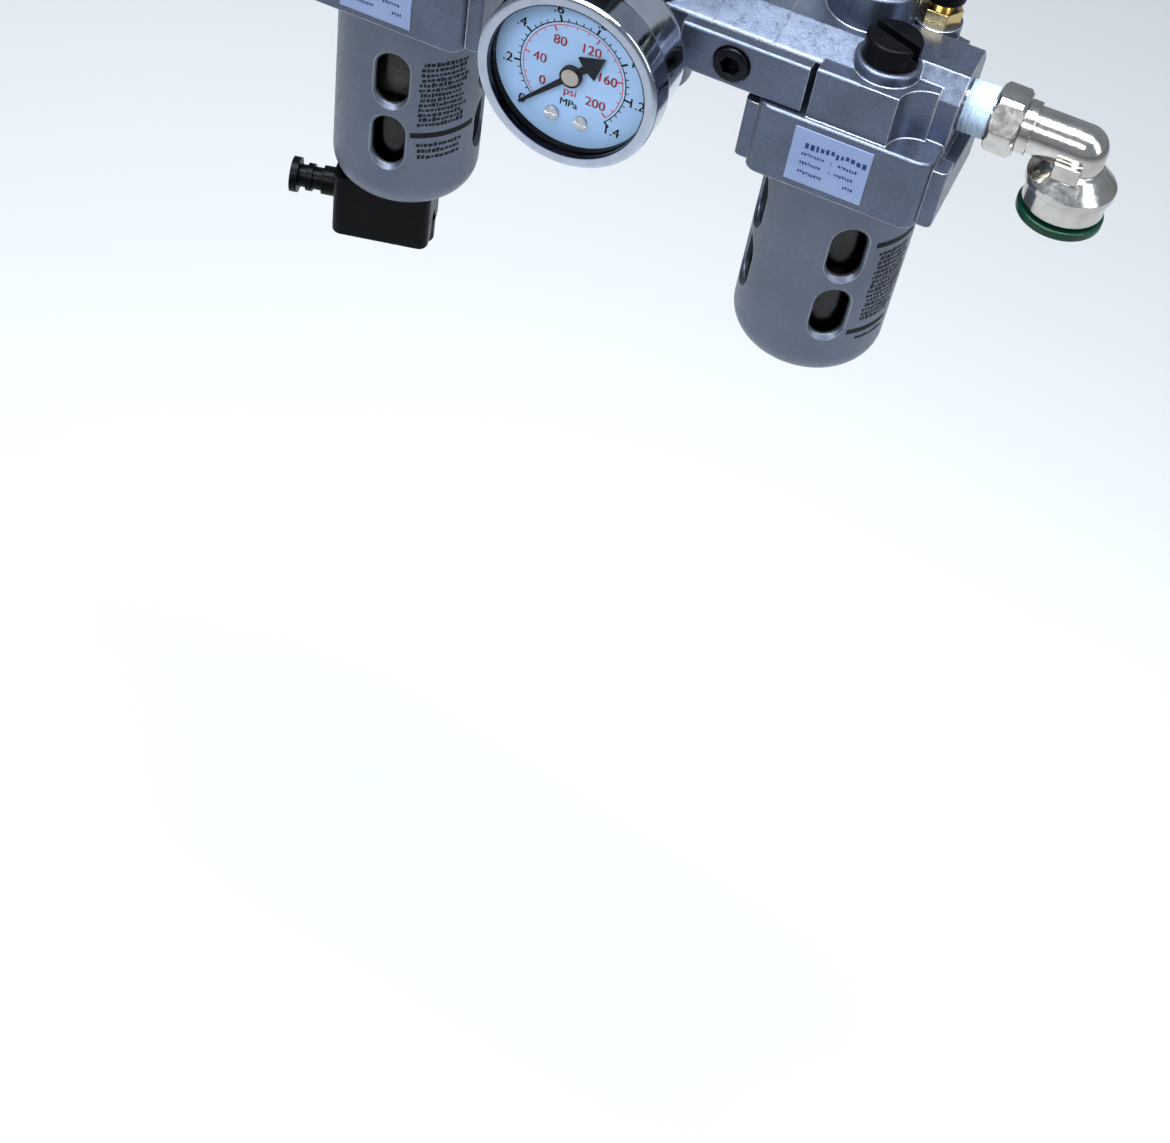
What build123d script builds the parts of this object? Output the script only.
from build123d import *
import os
from math import cos, pi, radians, sin

# Filter, regulator and lubricator in one modular row, in millimetres.
# X follows the air from the inlet to the outlet, -Y is the front and Z is up.
# The origin is the centre of the inlet port, on the filter's left port face.

# ---- Driving dimensions ----
bowl_d = 45.0                   # metal bowl guard, outside
bowl_r = bowl_d / 2
pitch = 67.5                    # from one module's axis to the next
port_span = 50.0                # one body, port face to port face
port_flat = 25.0                # port flange, across flats
port_chamfer = 5.5              # chamfer on the port flange's long edges
thread_r = 6.6                  # G 1/4 port, major radius
thread_deep = 12.0
passage_r = 5.0                 # air passage through bodies and spacers
gap = 0.05                      # radial running clearance of turning and sliding pieces

collar_top = -5.8               # square collar that holds a bowl guard
collar_bottom = -27.2
collar_half_x = 24.6
collar_half_y = 23.6
collar_corner_r = 4.3
rib_out = 4.0                   # side ribs of the collar
rib_half_y = 19.5
rib_drop = 3.4
rib_notch = 0.6                 # room for the spacers above the ribs
front_half = 11.2               # raised front face above the collar
face_y = 22.0
face_top = 9.2
groove_r = 8.3                  # concave corners beside the front face
soft_edge = 0.9

recess_r = 20.3                 # bore of the collar, for the guard's neck
recess_top = -12.0
lug_r = 21.3                    # bayonet lugs
lug_groove_z0 = -23.6
lug_groove_z1 = -20.0
lug_count = 3
lug_span = 24.0                 # degrees

guard_top = collar_bottom - 0.5
guard_bottom = guard_top - 66.0
guard_wall = 2.2
guard_corner_r = 9.0
neck_r = recess_r - 0.2
neck_top = -17.6
glass_r = 17.7                  # clear bowl, outside
glass_wall = 2.4
slot_w = 10.0                   # sight slots in the guards
slot_h = 17.2
slot_z = (-45.6, -67.6)
slot_turn_filter = 10.0         # degrees from the front towards +X
slot_turn_lubricator = 26.0
slots_round = 4
drain_hole_r = 7.3

bar_inner = 15.0                # clamp bars, from the spacer's centre towards the regulator
bar_outer = 20.7                # and towards the outer body
bar_z0 = -5.4
bar_z1 = 8.4
shoulder_y = 18.4               # sloping shoulders that overhang the clamp bars
screw_z = 1.4
screw_r = 3.0
screw_head_r = 5.0
screw_head_h = 6.0
bracket_back = 27.0             # wall plane
bracket_half_z = 34.0
bracket_half_x = 8.0
bracket_plate = 3.0
wall_hole_r = 2.75
wall_hole_z = 27.0

filter_x = port_span / 2
regulator_x = filter_x + pitch
lubricator_x = filter_x + 2 * pitch
outlet_x = lubricator_x + port_span / 2
spacer_w = pitch - port_span
spacer_xs = [filter_x + pitch / 2, regulator_x + pitch / 2]

dome_xy = (-7.5, 7.5)           # sight dome, fill plug and bleed valve, from the lubricator's axis
dome_drum_r = 12.0
dome_drum_top = 22.6
plug_xy = (3.9, -10.5)
plug_boss_r = 9.0
plug_boss_top = 12.5
bleed_xy = (9.6, 13.9)
bleed_boss_r = 6.6
bleed_boss_top = 12.5

gauge_y = -53.0                 # front of the gauge's bezel
bezel_r = 25.2
case_r = 24.0
pointer_zero = -135.0           # degrees, clockwise from straight up

elbow_x = outlet_x + 33.0        # axis of the outlet elbow's lower leg
elbow_r = 6.5
tube_r = 5.05                   # socket for a 10 mm tube
ring_bottom = -22.0
ring_r = 11.9                   # release ring
ring_tube_r = 7.6               # its sleeve inside the socket
rim_r = 12.2                    # socket's upper rim
sleeve_r = 11.2                 # socket's outside
sleeve_top = -9.0
nipple_hex_x = outlet_x + 8.0
nipple_hex_w = 8.0
hex_flats = 17.0
hex_turn = 30.0
swivel_r = 4.6                  # spigot that the elbow turns on
nipple_bore_r = 3.2

siphon_r = 1.8                  # lubricator's small bores
plug_thread_r = 4.4
plug_seal_r = 5.4
plug_seal_deep = 1.4
plug_head_h = 6.5
plug_slot_turn = -22.0
bleed_thread_r = 3.4
needle_r = 2.2
drip_r = 1.2

element_top = -24.0             # filter's porous sleeve
element_bottom = -50.0
element_r = 9.5
riser_x = -12.0                 # filter's inlet passage down into the bowl
riser_r = 3.5

drain_top = guard_bottom - 0.3
drain_bottom = drain_top - 23.0
drain_half = 15.5
drain_depth_half = 11.0
drain_shift = -5.0
drain_turn = 16.0               # drain unit, turned about the bowl's axis
drain_bore_z = drain_bottom + 12.0
nozzle_length = 20.0
nozzle_r = 3.6
nozzle_bore_r = 2.05
button_x = 7.5
button_r = 3.6

body_r = 17.0                   # regulator body, valve and bonnet
cap_flange_r = 21.0
cap_flange_z = 9.6
body_top = 14.0
body_bottom = -24.0
diaphragm_t = 1.2
seat_r = 4.0
stem_r = 1.4
valve_chamber_r = 9.0
valve_top = -4.05
valve_bottom = -10.0
plug_top = -16.0
bonnet_bottom = body_top + diaphragm_t
bonnet_bore_r = 12.0
bonnet_top = 44.0
neck_outer_r = 14.5
shoulder_z = 31.0
screw_outer_r = 4.0
nut_top = 34.0
nut_bottom = 30.5
spring_bottom = 17.3
knob_r = 18.0
knob_bottom = 32.0
knob_top = 60.0
knob_flutes = 24
hub_flats = 7.0
screw_top = 54.0

gauge_thread_r = 4.9
gauge_neck_r = 5.6
case_back = -28.0
case_front = -48.5
case_wall = 1.0
dial_y = -47.0


# ---- Small builders ----
def rod(r, z0, z1, x=0.0, y=0.0):
    """Upright cylinder from z0 to z1."""
    body = Cylinder(r, z1 - z0, align=(Align.CENTER, Align.CENTER, Align.MIN))
    return Pos(x, y, z0) * body


def rod_x(r, x0, x1, y=0.0, z=0.0):
    """Cylinder along X from x0 to x1."""
    return Pos(x0, y, z) * Rot(0, 90, 0) * rod(r, 0, x1 - x0)


def rod_y(r, y0, y1, x=0.0, z=0.0):
    """Cylinder along Y from y0 to y1."""
    return Pos(x, y0, z) * Rot(-90, 0, 0) * rod(r, 0, y1 - y0)


def block(x0, x1, y0, y1, z0, z1):
    """Box between two corners."""
    body = Box(x1 - x0, y1 - y0, z1 - z0, align=(Align.MIN, Align.MIN, Align.MIN))
    return Pos(x0, y0, z0) * body


def hexagon(flats, z0, z1):
    """Upright hexagonal prism, measured across flats."""
    section = RegularPolygon(flats / 2, 6, major_radius=False)
    return Pos(0, 0, z0) * extrude(section, amount=z1 - z0)


def turned(points):
    """Solid of revolution about Z from (radius, height) points."""
    outline = Polyline(*[(r, 0, z) for r, z in points], close=True)
    return revolve(make_face(outline), Axis.Z)


def ring_seal(major, minor, z, x=0.0, y=0.0):
    """Flat-lying seal ring."""
    return Pos(x, y, z) * Torus(major, minor)


def coil_spring(mean_r, wire_r, z0, z1, turns):
    """Coil spring between two seats, its wire just touching them."""
    clear = wire_r + gap
    height = z1 - z0 - 2 * clear
    path = Helix(height / turns, height, mean_r)
    start = Plane(origin=path @ 0, z_dir=path % 0)
    return Pos(0, 0, z0 + clear) * sweep(start * Circle(wire_r), path=path)


def port_tube(x0, x1):
    """Port flange section: a square bar along X with chamfered long edges."""
    section = chamfer(Rectangle(port_flat, port_flat).vertices(), port_chamfer)
    return Pos(x0, 0, 0) * extrude(Plane.YZ * section, amount=x1 - x0)


def shoulders(x0, x1):
    """Sloping front and rear shoulders on the port section, just above the clamp bars."""
    low = bar_z1 + gap
    high = port_flat / 2
    inner = high - port_chamfer
    section = make_face(Polyline((-shoulder_y, low), (-inner, high), (-inner, low), close=True))
    front = Pos(x0, 0, 0) * extrude(Plane.YZ * section, amount=x1 - x0)
    return front + mirror(front, about=Plane.XZ)


# ---- Castings shared by the filter and the lubricator ----
def corner_web(side_x, side_y):
    """Concave corner between the raised face and the port flange."""
    x1 = front_half + groove_r
    web = block(0, x1, 0, face_y, collar_top, face_top)
    cut = rod(groove_r, collar_top - 1, face_top + 1, x1, face_y)
    web -= cut
    if side_x < 0:
        web = mirror(web, about=Plane.YZ)
    if side_y < 0:
        web = mirror(web, about=Plane.XZ)
    return web


def collar():
    body = block(-collar_half_x, collar_half_x, -collar_half_y, collar_half_y, collar_bottom, collar_top)
    body = fillet(body.edges().filter_by(Axis.Z), collar_corner_r)
    body = fillet(body.faces().sort_by(Axis.Z)[-1].edges(), soft_edge)
    rib = block(-collar_half_x - rib_out, collar_half_x + rib_out, -rib_half_y, rib_half_y,
                collar_bottom, collar_top - rib_drop)
    rib = fillet(rib.edges().filter_by(Axis.Z), 2 * soft_edge)
    room_y = port_flat / 2 + rib_notch
    for side in (-1, 1):
        x0, x1 = sorted((side * port_span / 2, side * (port_span / 2 + rib_out + 1)))
        rib -= block(x0, x1, -room_y, room_y, -port_flat / 2 - rib_notch, collar_top)
    return body + rib


def bayonet_groove():
    """Lug groove with one entry slot for each lug."""
    groove = rod(lug_r + 0.3, lug_groove_z0, lug_groove_z1)
    for i in range(lug_count):
        entry = lug_sector(lug_r + 0.3, collar_bottom - 1, lug_groove_z1, lug_span + 6)
        groove += Rot(0, 0, i * 360 / lug_count + 45) * entry
    return groove


def lug_sector(r, z0, z1, span):
    """Sector of a disc, centred on +Y."""
    half = radians(span / 2)
    reach = 2 * r
    tip = [(0, 0), (-reach * sin(half), reach * cos(half)), (reach * sin(half), reach * cos(half))]
    wedge = extrude(make_face(Polyline(*tip, close=True)), amount=z1 - z0)
    return (Pos(0, 0, z0) * wedge) & rod(r, z0, z1)


def clamp_room(side):
    """Space beside a body's faces for the front and rear clamp bars."""
    near = pitch / 2 - bar_outer - 0.6
    x0, x1 = sorted((side * near, side * (port_span / 2 + 1)))
    flat = port_flat / 2
    room = block(x0, x1, flat, face_y + 3, bar_z0 - 0.3, bar_z1 + 0.3)
    return room + mirror(room, about=Plane.XZ)


def head_blank(free_side):
    """Body casting on its own axis, before its own bosses and passages. Webs are on the free side."""
    face = block(-front_half, front_half, -face_y, face_y, collar_top - 1, face_top)
    face = fillet(face.edges().filter_by(Axis.X), soft_edge)
    body = collar() + face + port_tube(-port_span / 2, port_span / 2)
    for side_y in (-1, 1):
        body += corner_web(free_side, side_y)
    body -= rod(recess_r, collar_bottom - 1, recess_top)
    body -= bayonet_groove()
    return body


def filter_body():
    body = head_blank(-1)
    body += fillet(rod(15, 0, 15).faces().sort_by(Axis.Z)[-1].edges(), 2)
    half = port_span / 2
    body += shoulders(0, half)
    body -= rod_x(thread_r, -half - 1, -half + thread_deep)
    body -= rod_x(passage_r - 1, -half, riser_x)
    body -= rod(riser_r, recess_top - 1, 0, riser_x)
    body -= rod_x(passage_r, 4, half + 1)
    body -= rod(passage_r, recess_top - 1, 0)
    return Pos(filter_x, 0, 0) * body


def lubricator_body():
    body = head_blank(1)
    half = port_span / 2
    drum = rod(dome_drum_r, 0, dome_drum_top, *dome_xy)
    drum = fillet(drum.faces().sort_by(Axis.Z)[-1].edges(), soft_edge)
    boss = rod(plug_boss_r, 0, plug_boss_top, *plug_xy)
    boss = fillet(boss.faces().sort_by(Axis.Z)[-1].edges(), soft_edge)
    bleed = rod(bleed_boss_r, 0, bleed_boss_top, *bleed_xy)
    body += drum + boss + bleed
    body -= clamp_room(-1)
    body += shoulders(-half, 0)
    cup_r = dome_drum_r - 2.5
    body -= rod(cup_r, dome_drum_top - 6, dome_drum_top + 1, *dome_xy)
    body -= rod(cup_r - 2.5, 14, dome_drum_top, *dome_xy)
    body -= rod(siphon_r + gap, recess_top - 1, 15, *dome_xy)
    body -= rod(drip_r, 0, 15, dome_xy[0] + 4.5, dome_xy[1] - 4.5)
    body -= rod(plug_thread_r + gap, recess_top - 1, plug_boss_top + 1, *plug_xy)
    body -= rod(plug_seal_r + 2, plug_boss_top - plug_seal_deep, plug_boss_top + 1, *plug_xy)
    body -= rod(bleed_thread_r + gap, bleed_boss_top - 7, bleed_boss_top + 1, *bleed_xy)
    body -= rod(1, recess_top - 1, bleed_boss_top - 6, *bleed_xy)
    body -= rod_x(passage_r, -half - 1, half + 1)
    body -= rod_x(thread_r, half - thread_deep, half + 1)
    return Pos(lubricator_x, 0, 0) * body


def name_plate(x):
    """Thin rating plate on the collar's front, a little left of centre."""
    plate_w = 22.0
    plate_h = 17.0
    plate_t = 0.25
    shift = -1.6
    body = block(-plate_w / 2, plate_w / 2, -plate_t, 0, -plate_h / 2, plate_h / 2)
    middle = (collar_top + collar_bottom) / 2
    return Pos(x + shift, -collar_half_y, middle) * body


# ---- Bowls ----
def sight_slot(z, turn):
    """Stadium cutter through the guard's wall with a flared rim."""
    flare = 1.3
    reach = 6.0
    outline = SlotOverall(slot_h, slot_w, rotation=90)
    outer = SlotOverall(slot_h + 4 * flare, slot_w + 4 * flare, rotation=90)
    front = Plane(origin=(0, -bowl_r - flare, z), x_dir=(1, 0, 0), z_dir=(0, 1, 0))
    inner_start = Plane(origin=(0, -bowl_r - flare - 1, z), x_dir=(1, 0, 0), z_dir=(0, 1, 0))
    straight = extrude(inner_start * outline, amount=reach)
    rim = extrude(front * outer, amount=2 * flare, taper=45)
    return Rot(0, 0, turn) * (straight + rim)


def bowl_guard(x, slot_turn, open_bottom):
    """Die-cast guard: bayonet neck, wall with four pairs of sight slots, round bottom edge."""
    shell = fillet(rod(bowl_r, guard_bottom, guard_top).faces().sort_by(Axis.Z)[0].edges(), guard_corner_r)
    shell += rod(neck_r, guard_top - 1, neck_top)
    inner = rod(bowl_r - guard_wall, guard_bottom + guard_wall, guard_top - 3)
    inner = fillet(inner.faces().sort_by(Axis.Z)[0].edges(), guard_corner_r - guard_wall)
    shell -= inner
    shell -= rod(glass_r + 0.4, guard_top - 4, neck_top + 1)
    for i in range(slots_round):
        for z in slot_z:
            shell -= sight_slot(z, slot_turn + i * 360 / slots_round)
    for i in range(lug_count):
        lug = lug_sector(lug_r, lug_groove_z0 + 0.4, lug_groove_z1 - 0.4, lug_span)
        lug -= rod(neck_r - 1, lug_groove_z0 - 1, lug_groove_z1 + 1)
        shell += Rot(0, 0, i * 360 / lug_count) * lug
    if open_bottom:
        shell -= rod(drain_hole_r, guard_bottom - 1, guard_bottom + guard_wall + 1)
    return Pos(x, 0, 0) * shell


def clear_bowl(x, open_bottom):
    """Clear bowl with a flange that rests on the guard's neck."""
    flange_top = neck_top + 2
    bottom = guard_bottom + guard_wall + 1.2
    shell = fillet(rod(glass_r, bottom, flange_top).faces().sort_by(Axis.Z)[0].edges(), 8)
    inner = rod(glass_r - glass_wall, bottom + glass_wall, flange_top + 1)
    inner = fillet(inner.faces().sort_by(Axis.Z)[0].edges(), 6)
    shell += rod(neck_r - 0.1, neck_top, flange_top)
    shell -= inner
    if open_bottom:
        shell -= rod(drain_hole_r - 2.5, bottom - 1, bottom + glass_wall + 1)
    return Pos(x, 0, 0) * shell


def bowl_seal(x):
    minor = 1.75
    return ring_seal(18.2, minor, recess_top - minor - 0.02, x)


# ---- Filter inside ----
def filter_deflector():
    """Swirl disc with slanted vanes, above the element."""
    top = recess_top - 0.05
    body = rod(15, top - 3, top) + rod(8, element_top + 0.05, top - 2)
    vane_count = 12
    for i in range(vane_count):
        vane = Rot(0, 35, 0) * Box(0.9, 4.5, 7)
        body += Rot(0, 0, i * 360 / vane_count) * (Pos(0, 12.4, top - 4.5) * vane)
    body &= rod(14.9, top - 8, top)
    body += rod(8, element_top + 0.05, top - 2)
    body -= rod(passage_r, element_top - 1, top + 1)
    body -= rod(3.4, top - 9, top + 1, -12)
    whole = max(body.solids(), key=lambda piece: piece.volume)
    return Pos(filter_x, 0, 0) * whole


def filter_element():
    """Porous sintered sleeve."""
    body = rod(element_r, element_bottom, element_top)
    body -= rod(element_r - 3, element_bottom - 1, element_top + 1)
    return Pos(filter_x, 0, 0) * body


def filter_baffle():
    """Quiet-zone disc on a stud that clamps the element."""
    plate_r = 13.0
    plate = turned([(0, element_bottom - 0.05), (plate_r, element_bottom - 0.05), (plate_r, element_bottom - 6),
                    (plate_r - 1.2, element_bottom - 6), (plate_r - 1.2, element_bottom - 2.5),
                    (0, element_bottom - 2.5)])
    stud = rod(2.2, element_bottom - 2, recess_top - 2)
    spider = rod(4.9, element_top + 1, element_top + 3)
    for i in range(3):
        spider -= Rot(0, 0, i * 120) * rod(1.2, element_top, element_top + 4, 0, 3.5)
    return Pos(filter_x, 0, 0) * (plate + stud + spider)


# ---- Drain under the filter bowl ----
def drain_block():
    """Black drain valve body under the bowl, its neck through the guard and the bowl."""
    body = block(drain_shift - drain_half, drain_shift + drain_half, -drain_depth_half, drain_depth_half,
                 drain_bottom, drain_top)
    body = fillet(body.edges().filter_by(Axis.Z), 3)
    body = fillet(body.faces().sort_by(Axis.Z)[0].edges(), 1.2)
    body += rod(drain_hole_r - 0.2, drain_top - 1, guard_bottom + guard_wall + 1.1)
    body += rod(drain_hole_r - 2.7, drain_top, guard_bottom + guard_wall + 6)
    body -= rod(1.8, drain_bore_z, guard_bottom + 20)
    body -= rod_x(1.8, drain_shift - drain_half - 1, button_x, 0, drain_bore_z)
    body -= rod(button_r + gap, drain_bottom - 1, drain_bottom + 8, button_x)
    body -= rod(1.6, drain_bottom + 7, drain_bore_z, button_x)
    body -= rod_x(nozzle_r + gap, drain_shift - drain_half - 1, drain_shift - drain_half + 5, 0, drain_bore_z)
    return Pos(filter_x, 0, 0) * Rot(0, 0, drain_turn) * body


def drain_nozzle():
    """Side outlet of the drain, with a flanged end for a hose."""
    z = drain_bore_z
    block_side = drain_shift - drain_half
    x1 = block_side + 4.9
    x0 = x1 - nozzle_length
    body = rod_x(nozzle_r, x0, x1, 0, z)
    body += rod_x(nozzle_r + 1, block_side - 5, block_side - gap, 0, z)
    body += rod_x(nozzle_r + 2, x0, x0 + 2.4, 0, z)
    body += rod_x(nozzle_r + 0.8, x0 + 5, x0 + 7, 0, z)
    body -= rod_x(nozzle_bore_r, x0 - 1, x1 + 1, 0, z)
    return Pos(filter_x, 0, 0) * Rot(0, 0, drain_turn) * body


def drain_button():
    """Push button that opens the drain."""
    body = rod(button_r, drain_bottom - 3.2, drain_bottom + 5.5, button_x)
    body = fillet(body.faces().sort_by(Axis.Z)[0].edges(), 1)
    return Pos(filter_x, 0, 0) * Rot(0, 0, drain_turn) * body


# ---- Spacers, clamps and wall brackets ----
def spacer(x):
    """Joining piece between two bodies, with seal grooves and two tapped holes."""
    half = spacer_w / 2
    body = port_tube(-half, half) + shoulders(-half, half)
    body -= rod_x(passage_r, -half - 1, half + 1)
    groove = rod_x(8.2, half - 1.3, half + 1) - rod_x(passage_r + 0.9, half - 2, half + 2)
    body -= groove + mirror(groove, about=Plane.YZ)
    flat = port_flat / 2
    tapped = rod_y(screw_r, flat - 6.4, flat + 1, 0, screw_z)
    body -= tapped + mirror(tapped, about=Plane.XZ)
    return Pos(x, 0, 0) * body


def spacer_seals():
    """Four seal rings, one at each face between spacer and body."""
    seals = Part()
    for x in spacer_xs:
        for side in (-1, 1):
            face = x + side * (spacer_w / 2 - 0.65)
            seals += Pos(face, 0, 0) * (Rot(0, 90, 0) * Torus(7.05, 0.62))
    return seals


def clamp_profile(x, y0, y1):
    """Clamp bar along X with softened long edges, longer towards the outer body."""
    outward = 1 if x > regulator_x else -1
    x0, x1 = sorted((-outward * bar_inner, outward * bar_outer))
    body = block(x0, x1, y0, y1, bar_z0, bar_z1)
    return fillet(body.edges().filter_by(Axis.X), soft_edge)


def front_clamp(x):
    flat = port_flat / 2
    body = clamp_profile(x, -face_y, -flat - 0.02)
    body -= rod_y(screw_r + 0.1, -face_y - 1, -flat + 1, 0, screw_z)
    body -= rod_y(screw_head_r + 0.3, -face_y - 1, -face_y + screw_head_h - 1.2, 0, screw_z)
    return Pos(x, 0, 0) * body


def wall_bracket(x):
    """Rear clamp bar in one piece with the plate that is screwed to a wall."""
    flat = port_flat / 2
    plate_y = bracket_back - bracket_plate
    body = clamp_profile(x, flat + 0.02, face_y)
    web = block(-bracket_half_x, bracket_half_x, face_y - 1, bracket_back, bar_z0, bar_z1)
    plate = block(-bracket_half_x, bracket_half_x, plate_y, bracket_back, -bracket_half_z, bracket_half_z)
    plate = fillet(plate.edges().filter_by(Axis.Y), 4)
    body += web + plate
    for z in (-wall_hole_z, wall_hole_z):
        body -= rod_y(wall_hole_r, plate_y - 1, bracket_back + 1, 0, z)
    body -= rod_y(screw_r + 0.1, flat - 1, bracket_back + 1, 0, screw_z)
    body -= rod_y(screw_head_r + 0.3, face_y - screw_head_h + 1.2, bracket_back + 1, 0, screw_z)
    return Pos(x, 0, 0) * body


def cap_screw():
    """Socket-head screw along Z, its head's underside at zero."""
    head = rod(screw_head_r, 0, screw_head_h)
    head = fillet(head.faces().sort_by(Axis.Z)[-1].edges(), 0.6)
    body = head + rod(screw_r - 0.05, -10, 0)
    return body - hexagon(5, 2.6, screw_head_h + 1)


def clamp_screws():
    """Two front and two rear socket-head screws."""
    seat_y = face_y - screw_head_h + 1.2
    screws = Part()
    for x in spacer_xs:
        screws += Pos(x, -seat_y, screw_z) * Rot(90, 0, 0) * cap_screw()
        screws += Pos(x, seat_y, screw_z) * Rot(-90, 0, 0) * cap_screw()
    return screws


# ---- Regulator ----
def regulator_body():
    half = port_span / 2
    body = port_tube(-half, half) + shoulders(-half, half) + rod(body_r, body_bottom, body_top)
    body = body + rod(cap_flange_r, cap_flange_z, body_top)
    body += rod_y(9, -body_r - 2, 0)
    side_x = 12.5
    riser_r = 2.6
    body -= rod(valve_chamber_r, body_bottom - 1, -4)
    body -= rod(seat_r, -5, 8)
    body -= rod(15, body_top - 2.5, body_top + 1)
    body -= rod(1.7, 7, body_top)
    body -= rod_x(passage_r, -half - 1, -side_x + 2)
    body -= rod(riser_r, -10, 0, -side_x)
    body -= rod_x(riser_r, -side_x, 0, 0, -10)
    body -= rod_x(passage_r, side_x - 2, half + 1)
    body -= rod_x(riser_r, 0, side_x)
    body -= rod(riser_r, 0, body_top - 1, side_x)
    body -= rod_y(gauge_thread_r, -body_r - 3, -body_r + 6)
    body -= rod_y(1.5, -body_r, 0, 0, 3)
    return Pos(regulator_x, 0, 0) * body


def regulator_valve():
    """Poppet below the seat with its stem up to the diaphragm."""
    disc_r = 6.3
    tip = body_top - 0.1
    body = turned([(0, plug_top + 1), (stem_r, plug_top + 1), (stem_r, valve_bottom), (disc_r, valve_bottom),
                   (disc_r, valve_top), (stem_r, valve_top), (stem_r, tip), (0, tip)])
    return Pos(regulator_x, 0, 0) * body


def valve_spring():
    return Pos(regulator_x, 0, 0) * coil_spring(4.4, 0.5, plug_top, valve_bottom, 4)


def valve_plug():
    """Bottom plug that closes the valve chamber and guides the poppet."""
    body = rod(valve_chamber_r - 0.02, body_bottom, plug_top) + rod(11.5, body_bottom - 3.5, body_bottom)
    body = body - rod(stem_r + gap, plug_top - 5, plug_top + 1)
    body -= block(-9, 9, -1.2, 1.2, body_bottom - 4, body_bottom - 1.8)
    return Pos(regulator_x, 0, 0) * body


def diaphragm():
    body = rod(cap_flange_r - 2, body_top, bonnet_bottom)
    return Pos(regulator_x, 0, 0) * body


def diaphragm_plate():
    body = rod(10.5, bonnet_bottom, spring_bottom) + rod(6.2, bonnet_bottom, spring_bottom + 2.2)
    return Pos(regulator_x, 0, 0) * body


def regulator_bonnet():
    """Bonnet screwed on over the diaphragm, with the neck that the knob turns on."""
    outer = [(0, bonnet_bottom), (cap_flange_r, bonnet_bottom), (cap_flange_r, bonnet_bottom + 5),
             (cap_flange_r - 2.2, bonnet_bottom + 7), (cap_flange_r - 2.6, shoulder_z - 2),
             (cap_flange_r - 4.6, shoulder_z), (neck_outer_r, shoulder_z), (neck_outer_r, bonnet_top),
             (0, bonnet_top)]
    body = turned(outer)
    body -= rod(bonnet_bore_r, bonnet_bottom - 1, bonnet_top - 5.5)
    body -= rod(screw_outer_r + gap, bonnet_top - 8, bonnet_top + 1)
    body -= rod(1.0, bonnet_bottom + 3, bonnet_bottom + 5, 0, cap_flange_r)
    return Pos(regulator_x, 0, 0) * body


def lock_ring():
    """Coloured band on the neck, seen only while the knob is pulled up."""
    body = rod(neck_outer_r + 0.5, shoulder_z + 0.05, shoulder_z + 3.4) - rod(neck_outer_r + 0.01, shoulder_z, 36)
    return Pos(regulator_x, 0, 0) * body


def regulating_spring():
    return Pos(regulator_x, 0, 0) * coil_spring(8.4, 1.1, spring_bottom, nut_bottom, 4)


def spring_nut():
    """Upper spring seat, threaded on the adjusting screw."""
    body = rod(bonnet_bore_r - 0.3, nut_bottom, nut_top) + rod(6.6, nut_bottom - 3, nut_bottom)
    body = body - rod(screw_outer_r + gap, nut_bottom - 4, nut_top + 1)
    return Pos(regulator_x, 0, 0) * body


def adjusting_screw():
    """Screw with a thrust collar inside the bonnet and a hexagon for the knob."""
    collar_z = bonnet_top - 5.6
    body = rod(screw_outer_r, nut_bottom - 7, screw_top - 10) + rod(7, collar_z - 2, collar_z)
    body = body + hexagon(hub_flats, screw_top - 10, screw_top)
    return Pos(regulator_x, 0, 0) * body


def regulator_knob():
    """Pull-up knob: fluted skirt over the bonnet's neck, hexagon socket on the screw."""
    outer = fillet(rod(knob_r, knob_bottom, knob_top).faces().sort_by(Axis.Z)[-1].edges(), 2.5)
    reach = knob_r + 0.9
    for i in range(knob_flutes):
        angle = 2 * pi * i / knob_flutes
        outer -= rod(1.3, knob_bottom - 1, knob_top - 5, reach * cos(angle), reach * sin(angle))
    outer -= rod(neck_outer_r + 0.9, knob_bottom - 1, bonnet_top + 0.4)
    outer -= hexagon(hub_flats + 0.3, bonnet_top - 1, screw_top + 0.5)
    outer -= rod(6, bonnet_top - 1, bonnet_top + 2)
    return Pos(regulator_x, 0, 0) * outer


# ---- Gauge ----
def gauge_socket():
    """Brass connector: thread, hexagon and neck into the case."""
    thread_end = -body_r + 5
    hex_back = -body_r - 2.2
    hex_front = hex_back - 6
    body = rod_y(gauge_thread_r - 0.02, hex_front, thread_end)
    nut = Rot(90, 0, 0) * hexagon(14, 0, 6)
    body += Pos(0, hex_back, 0) * nut
    body += rod_y(gauge_neck_r, case_back - 2.5, hex_front)
    body -= rod_y(1.2, case_back - 1, thread_end + 1)
    return Pos(regulator_x, 0, 0) * body


def gauge_case():
    """Pressed steel cup, open towards the front."""
    outer = rod_y(case_r, case_front, case_back)
    outer = fillet(outer.faces().sort_by(Axis.Y)[-1].edges(), 4)
    inner = rod_y(case_r - case_wall, case_front - 1, case_back - case_wall)
    inner = fillet(inner.faces().sort_by(Axis.Y)[-1].edges(), 3)
    body = outer - inner - rod_y(gauge_neck_r + gap, case_back - 3, case_back + 1)
    return Pos(regulator_x, 0, 0) * body


def gauge_bezel():
    """Chrome ring with a rolled front lip."""
    lip = 2.6
    body = rod_y(bezel_r, gauge_y, case_front + 5)
    body = fillet(body.edges(), 1.1)
    body -= rod_y(case_r + 0.02, gauge_y + 1.6, case_front + 6)
    body -= rod_y(bezel_r - lip - 0.8, gauge_y - 1, gauge_y + 3)
    return Pos(regulator_x, 0, 0) * body


def gauge_lens():
    body = rod_y(case_r - 0.3, case_front - 2.8, case_front - 1.5)
    return Pos(regulator_x, 0, 0) * body


def gauge_dial():
    body = rod_y(case_r - 1.2, dial_y - 0.8, dial_y) - rod_y(1.4, dial_y - 1, dial_y + 1)
    return Pos(regulator_x, 0, 0) * body


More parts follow.
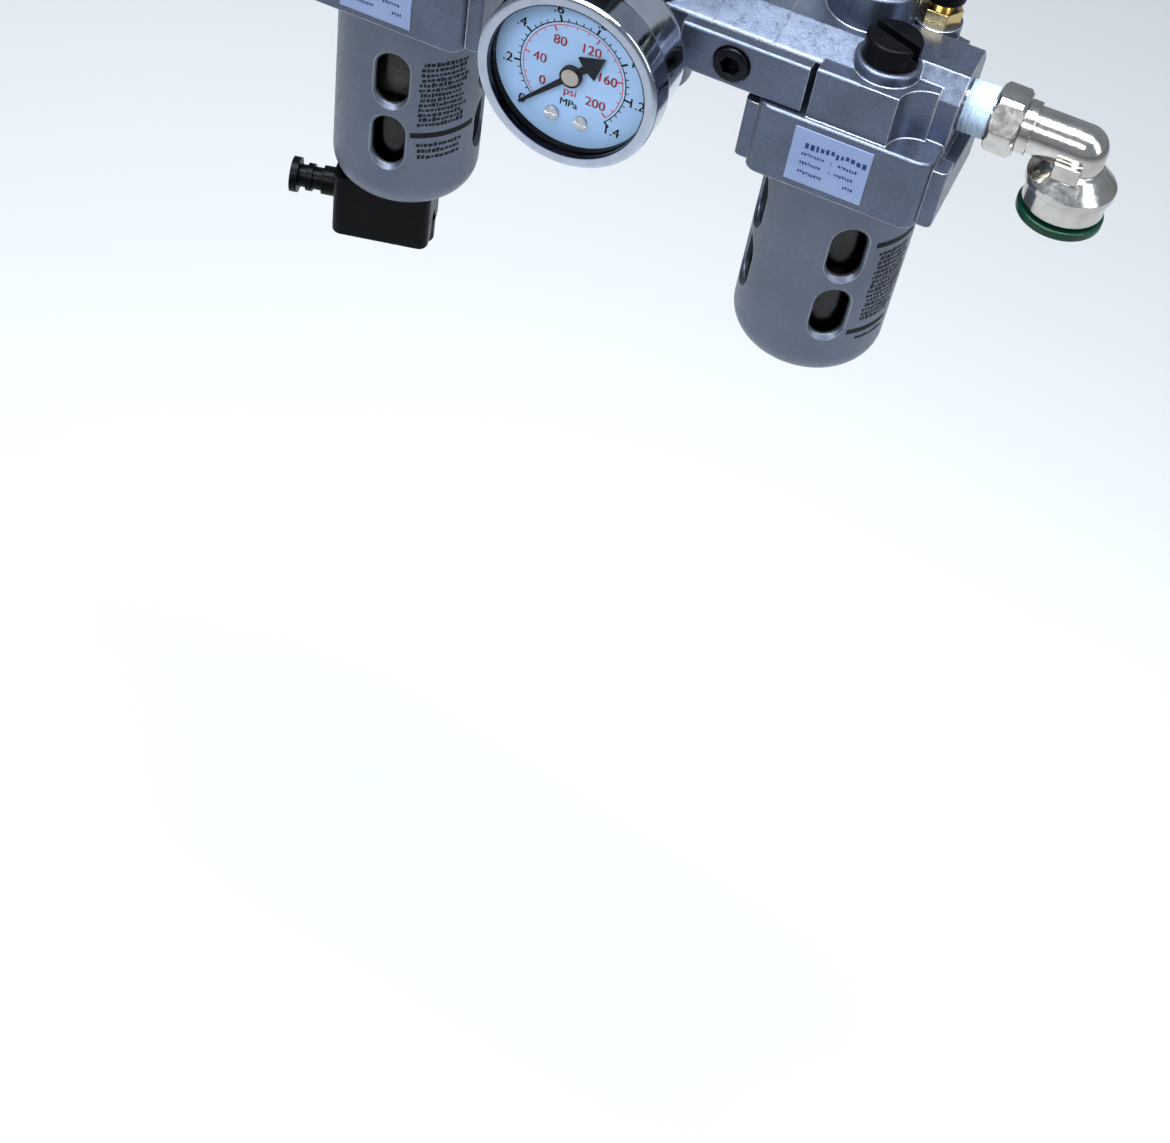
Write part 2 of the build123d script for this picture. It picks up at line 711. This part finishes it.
def gauge_spacer_ring():
    """Dark ring that stands between the dial and the lens."""
    body = rod_y(case_r - 1.05, case_front - 1.48, dial_y - 0.85) - rod_y(case_r - 2.2, case_front - 2, dial_y)
    return Pos(regulator_x, 0, 0) * body


def gauge_movement():
    """Movement block behind the dial, with the pointer's bearing."""
    body = block(-5, 5, case_back - 9, case_back - 2.6, -9, 9)
    body += block(-3, 3, dial_y + 1.2, case_back - 8, -3, 3)
    body -= rod_y(1.0 + gap, dial_y, case_back - 8)
    body -= rod_y(1.2, case_back - 6, case_back)
    return Pos(regulator_x, 0, 0) * body


def bourdon_tube():
    """Curved pressure tube around the movement, about three quarters of a turn."""
    major = 15.0
    minor = 1.6
    mid_y = case_back - 7
    sweep_deg = 250.0
    body = Rot(90, 0, 0) * Torus(major, minor, major_angle=sweep_deg)
    body = Pos(0, mid_y, 0) * Rot(0, 60, 0) * body
    link = block(10.6, major - 0.6, mid_y - 1, mid_y + 1, -1, 1)
    return Pos(regulator_x, 0, 0) * (body + Rot(0, 60, 0) * link)


def gauge_pointer():
    """Pointer on its spindle: long blade, arrow-shaped tail and round hub."""
    front = dial_y - 1.5
    thick = 0.6
    blade = [(-0.9, 0), (-0.35, 19.0), (0.35, 19.0), (0.9, 0)]
    tail = [(-0.9, 0), (-1.0, -5.0), (-3.6, -5.4), (0, -12.0), (3.6, -5.4), (1.0, -5.0), (0.9, 0)]
    facing = Plane(origin=(0, front, 0), x_dir=(1, 0, 0), z_dir=(0, -1, 0))
    body = extrude(facing * make_face(Polyline(*blade, close=True)), amount=thick)
    body += extrude(facing * make_face(Polyline(*tail, close=True)), amount=thick)
    body = Rot(0, pointer_zero, 0) * body
    body += rod_y(3.0, front - 1.2, front + 0.2)
    body += rod_y(1.0, front, dial_y + 5)
    return Pos(regulator_x, 0, 0) * body


def dial_screws():
    """Two small screws that hold the dial, below the hub."""
    spread = 4.2
    drop = -13.5
    screws = Part()
    for side in (-1, 1):
        head = rod_y(2.0, dial_y - 1.7, dial_y - 0.82)
        head -= block(-3, 3, dial_y - 2, dial_y - 1.3, -0.3, 0.3)
        screws += Pos(regulator_x + side * spread, 0, drop) * head
    return screws


# ---- Lubricator pieces ----
def siphon_tube():
    """Oil pick-up tube with a strainer foot."""
    foot = guard_bottom + 10
    body = rod(siphon_r, foot + 4, 13.5, *dome_xy) + rod(3.2, foot, foot + 5, *dome_xy)
    body = body - rod(1.0, foot - 1, 15, *dome_xy)
    return Pos(lubricator_x, 0, 0) * body


def plug_seal():
    """Gasket ring that lifts with the fill plug."""
    z = plug_boss_top - plug_seal_deep
    body = rod(plug_seal_r + 1.9, z, plug_boss_top, *plug_xy)
    body = body - rod(plug_thread_r + gap, z - 1, plug_boss_top + 1, *plug_xy)
    return Pos(lubricator_x, 0, 0) * body


def fill_plug():
    """Oil filler plug with a wide coin slot."""
    head = rod(7.5, plug_boss_top, plug_boss_top + plug_head_h)
    head = fillet(head.faces().sort_by(Axis.Z)[-1].edges(), 0.8)
    body = head + rod(plug_thread_r, plug_boss_top - 12, plug_boss_top)
    slot = block(-10, 10, -1.5, 1.5, plug_boss_top + 1.8, plug_boss_top + plug_head_h + 1)
    body -= Rot(0, 0, plug_slot_turn) * slot
    return Pos(lubricator_x + plug_xy[0], plug_xy[1], 0) * body


def sight_dome():
    """Clear dome over the drip chamber."""
    base = dome_drum_top - 6
    r = dome_drum_r - 2.5 - gap
    body = rod(r, base, dome_drum_top + 0.05) + rod(r + 1.6, dome_drum_top + 0.05, dome_drum_top + 2.2)
    body += fillet(rod(r - 0.4, dome_drum_top, dome_drum_top + 13).faces().sort_by(Axis.Z)[-1].edges(), 6)
    inner = rod(r - 2.6, base - 1, dome_drum_top + 10.5)
    body -= fillet(inner.faces().sort_by(Axis.Z)[-1].edges(), 4)
    body -= rod(needle_r + gap, dome_drum_top + 8, dome_drum_top + 20)
    return Pos(lubricator_x + dome_xy[0], dome_xy[1], 0) * body


def drip_tube():
    """Bent-over drip nozzle inside the dome."""
    z0 = 14.02
    body = rod(4.0, z0, z0 + 2) + rod(2.4, z0 + 1, dome_drum_top + 6)
    body = body - rod(siphon_r + gap, z0 - 1, z0 + 1.5)
    body -= rod(1.0, z0, dome_drum_top + 4)
    return Pos(lubricator_x + dome_xy[0], dome_xy[1], 0) * body


def drip_needle():
    """Oil feed adjuster: needle through the dome's top, with a knurled knob."""
    top = dome_drum_top + 13
    body = rod(needle_r, dome_drum_top + 6.2, top + 3)
    knob = fillet(rod(5, top + 0.3, top + 6).faces().sort_by(Axis.Z)[-1].edges(), 0.8)
    notches = 12
    for i in range(notches):
        angle = 2 * pi * i / notches
        knob -= rod(0.7, top, top + 5, 5.2 * cos(angle), 5.2 * sin(angle))
    body += knob
    body -= block(-6, 6, -0.5, 0.5, top + 4.8, top + 7)
    return Pos(lubricator_x + dome_xy[0], dome_xy[1], 0) * body


def bleed_valve():
    """Brass body of the bleed valve that vents the bowl before filling."""
    z = bleed_boss_top
    body = rod(bleed_thread_r, z - 6, z + 1) + hexagon(10, z, z + 4.2)
    body = body + rod(3.2, z + 4, z + 6.2)
    body -= rod(1.5 + gap, z - 2, z + 7)
    return Pos(lubricator_x + bleed_xy[0], bleed_xy[1], 0) * body


def bleed_knob():
    """Black knob of the bleed valve."""
    z = bleed_boss_top + 6.4
    body = fillet(rod(5.6, z, z + 5).edges(), 0.7)
    body += rod(1.5, z - 7, z + 1)
    return Pos(lubricator_x + bleed_xy[0], bleed_xy[1], 0) * body


# ---- Outlet fitting ----
def outlet_nipple():
    """Thread, hexagon and swivel spigot in one turned piece."""
    x0 = outlet_x - thread_deep + 1
    hex_end = nipple_hex_x + nipple_hex_w
    nut = Rot(hex_turn, 0, 0) * Rot(0, 90, 0) * hexagon(hex_flats, 0, nipple_hex_w)
    dome = rod_x(hex_flats / 2 + 0.9, nipple_hex_x, hex_end)
    dome = chamfer(dome.edges(), 1.0)
    body = rod_x(thread_r - 0.05, x0, nipple_hex_x) + (Pos(nipple_hex_x, 0, 0) * nut & dome)
    body += rod_x(swivel_r, hex_end, hex_end + 9)
    body -= rod_x(nipple_bore_r, x0 - 1, hex_end + 10)
    return body


def sealing_tape():
    """Wrap of thread tape between the port face and the hexagon."""
    return rod_x(7.1, outlet_x + 0.1, nipple_hex_x - 0.1) - rod_x(thread_r, outlet_x, nipple_hex_x)


def outlet_elbow():
    """Swivel elbow: round arm, rounded corner and flared leg with the tube's seat."""
    x0 = nipple_hex_x + nipple_hex_w + 0.15
    seat_z = ring_bottom + 16.0
    core_r = sleeve_r - 0.72
    rim_z = sleeve_top - 2.6
    skirt_z = ring_bottom + 5.2
    leg = turned([(0, 0), (elbow_r, 0), (elbow_r, sleeve_top + 4), (elbow_r + 1.2, sleeve_top + 3.4),
                  (rim_r - 0.8, sleeve_top), (rim_r, sleeve_top - 0.8), (rim_r, rim_z), (core_r, rim_z),
                  (core_r, skirt_z), (0, skirt_z)])
    body = rod_x(elbow_r, x0, elbow_x) + Pos(elbow_x, 0, 0) * leg
    body += Pos(elbow_x, 0, 0) * Sphere(elbow_r)
    body += rod_x(elbow_r + 0.8, x0, x0 + 3)
    lug = block(elbow_x - 5.5, elbow_x + 2.0, -elbow_r - 2.2, -2, -6.2, -1.6)
    body += fillet(lug.edges().filter_by(Axis.Z), 0.8)
    body -= rod_x(swivel_r + gap, x0 - 1, x0 + 9.4)
    body -= rod_x(nipple_bore_r, x0, elbow_x)
    body -= rod(nipple_bore_r, seat_z - 1, 0, elbow_x)
    body -= rod(tube_r, ring_bottom + 12, seat_z, elbow_x)
    body -= rod(ring_tube_r + gap, ring_bottom + 4, ring_bottom + 12.4, elbow_x)
    return body


def coupling_cap():
    """Pressed sleeve around the tube socket, turned in at the bottom."""
    bottom = ring_bottom + 4.2
    body = rod(sleeve_r, bottom, sleeve_top - 2.65, elbow_x)
    body -= rod(sleeve_r - 0.7, bottom + 0.95, sleeve_top, elbow_x)
    body -= rod(ring_tube_r + 0.8, bottom - 1, bottom + 2, elbow_x)
    return body


def release_ring():
    """Collar that is pushed up to free the tube."""
    head = fillet(rod(ring_r, ring_bottom, ring_bottom + 2.75, elbow_x).edges(), 0.7)
    body = head + rod(ring_tube_r, ring_bottom + 1, ring_bottom + 10.4, elbow_x)
    body -= rod(tube_r, ring_bottom - 1, ring_bottom + 11, elbow_x)
    return body


makers = {
    "filter_body": filter_body,
    "filter_plate": lambda: name_plate(filter_x),
    "filter_bowl_guard": lambda: bowl_guard(filter_x, slot_turn_filter, True),
    "filter_bowl": lambda: clear_bowl(filter_x, True),
    "filter_bowl_seal": lambda: bowl_seal(filter_x),
    "filter_deflector": filter_deflector,
    "filter_element": filter_element,
    "filter_baffle": filter_baffle,
    "drain_block": drain_block,
    "drain_nozzle": drain_nozzle,
    "drain_button": drain_button,
    "spacer_left": lambda: spacer(spacer_xs[0]),
    "spacer_right": lambda: spacer(spacer_xs[1]),
    "spacer_seals": spacer_seals,
    "front_clamp_left": lambda: front_clamp(spacer_xs[0]),
    "front_clamp_right": lambda: front_clamp(spacer_xs[1]),
    "wall_bracket_left": lambda: wall_bracket(spacer_xs[0]),
    "wall_bracket_right": lambda: wall_bracket(spacer_xs[1]),
    "clamp_screws": clamp_screws,
    "regulator_body": regulator_body,
    "regulator_valve": regulator_valve,
    "valve_spring": valve_spring,
    "valve_plug": valve_plug,
    "diaphragm": diaphragm,
    "diaphragm_plate": diaphragm_plate,
    "regulator_bonnet": regulator_bonnet,
    "lock_ring": lock_ring,
    "regulating_spring": regulating_spring,
    "spring_nut": spring_nut,
    "adjusting_screw": adjusting_screw,
    "regulator_knob": regulator_knob,
    "gauge_socket": gauge_socket,
    "gauge_case": gauge_case,
    "gauge_bezel": gauge_bezel,
    "gauge_lens": gauge_lens,
    "gauge_dial": gauge_dial,
    "gauge_spacer_ring": gauge_spacer_ring,
    "gauge_movement": gauge_movement,
    "bourdon_tube": bourdon_tube,
    "gauge_pointer": gauge_pointer,
    "dial_screws": dial_screws,
    "lubricator_body": lubricator_body,
    "lubricator_plate": lambda: name_plate(lubricator_x),
    "lubricator_bowl_guard": lambda: bowl_guard(lubricator_x, slot_turn_lubricator, False),
    "lubricator_bowl": lambda: clear_bowl(lubricator_x, False),
    "lubricator_bowl_seal": lambda: bowl_seal(lubricator_x),
    "siphon_tube": siphon_tube,
    "plug_seal": plug_seal,
    "fill_plug": fill_plug,
    "sight_dome": sight_dome,
    "drip_tube": drip_tube,
    "drip_needle": drip_needle,
    "bleed_valve": bleed_valve,
    "bleed_knob": bleed_knob,
    "outlet_nipple": outlet_nipple,
    "sealing_tape": sealing_tape,
    "outlet_elbow": outlet_elbow,
    "coupling_cap": coupling_cap,
    "release_ring": release_ring,
}

os.makedirs("parts", exist_ok=True)
for node, make in makers.items():
    print("making", node, flush=True)
    export_step(make(), f"parts/{node}.step")
